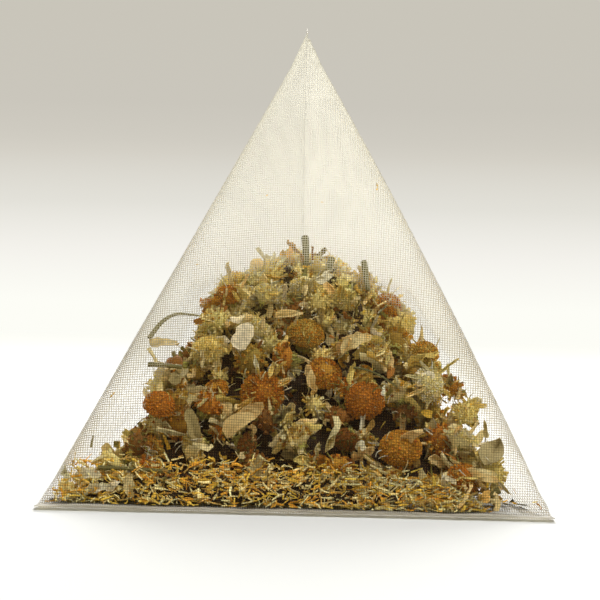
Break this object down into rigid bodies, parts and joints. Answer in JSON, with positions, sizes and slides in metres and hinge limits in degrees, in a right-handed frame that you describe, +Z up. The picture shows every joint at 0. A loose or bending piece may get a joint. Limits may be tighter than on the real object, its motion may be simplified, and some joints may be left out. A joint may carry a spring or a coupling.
{
  "type": "pyramid tea bag",
  "caption": "Sealed four-sided gauze bag filled with dried chamomile flower heads, petals and crumbs, resting on its bottom wall with one sealed edge in front.",
  "frame": {"origin": "middle of the footprint, on the surface the bag rests on", "axes": "+X right along the front seal, +Y from the front seal to the rear seal, +Z up"},
  "size_m": [0.0574, 0.0728, 0.053],
  "materials": {
    "gauze": "fine open-weave translucent gauze, ivory, satin thread",
    "crumbs": "dry matte plant crumbs",
    "florets": "dry matte florets, orange to brown",
    "petals": "dry matte cream petals",
    "leaf": "dry matte grey-brown leaf"
  },
  "bodies": {
    "root": {"gauze_bag": "gauze", "crumb_heap": "crumbs", "flower_head_01": "florets", "flower_head_02": "florets", "flower_head_03": "florets", "flower_head_04": "florets", "flower_head_05": "florets", "flower_head_06": "florets", "flower_head_07": "florets", "flower_head_08": "florets", "flower_head_09": "florets", "flower_head_10": "florets", "flower_head_11": "florets", "flower_head_12": "florets", "flower_head_13": "florets", "flower_head_14": "florets", "flower_head_15": "florets", "flower_head_16": "florets", "flower_head_17": "florets", "flower_head_18": "florets", "flower_head_19": "florets", "flower_head_20": "florets", "flower_head_21": "florets", "flower_head_22": "florets", "flower_head_23": "florets", "flower_head_24": "florets", "flower_head_25": "florets", "flower_head_26": "florets", "flower_head_27": "florets", "flower_head_28": "florets", "flower_head_29": "florets", "flower_head_30": "florets", "flower_head_31": "florets", "flower_head_32": "florets", "flower_head_33": "florets", "flower_head_34": "florets", "flower_head_35": "florets", "flower_head_36": "florets", "flower_head_37": "florets", "flower_head_38": "florets", "flower_head_39": "florets", "flower_head_40": "florets", "flower_head_41": "florets", "loose_petal_01": "petals", "loose_petal_02": "petals", "loose_petal_03": "petals", "loose_petal_04": "petals", "loose_petal_05": "petals", "loose_petal_06": "petals", "loose_petal_07": "petals", "loose_petal_08": "petals", "leaf_bract": "leaf"}
  },
  "joints": []
}
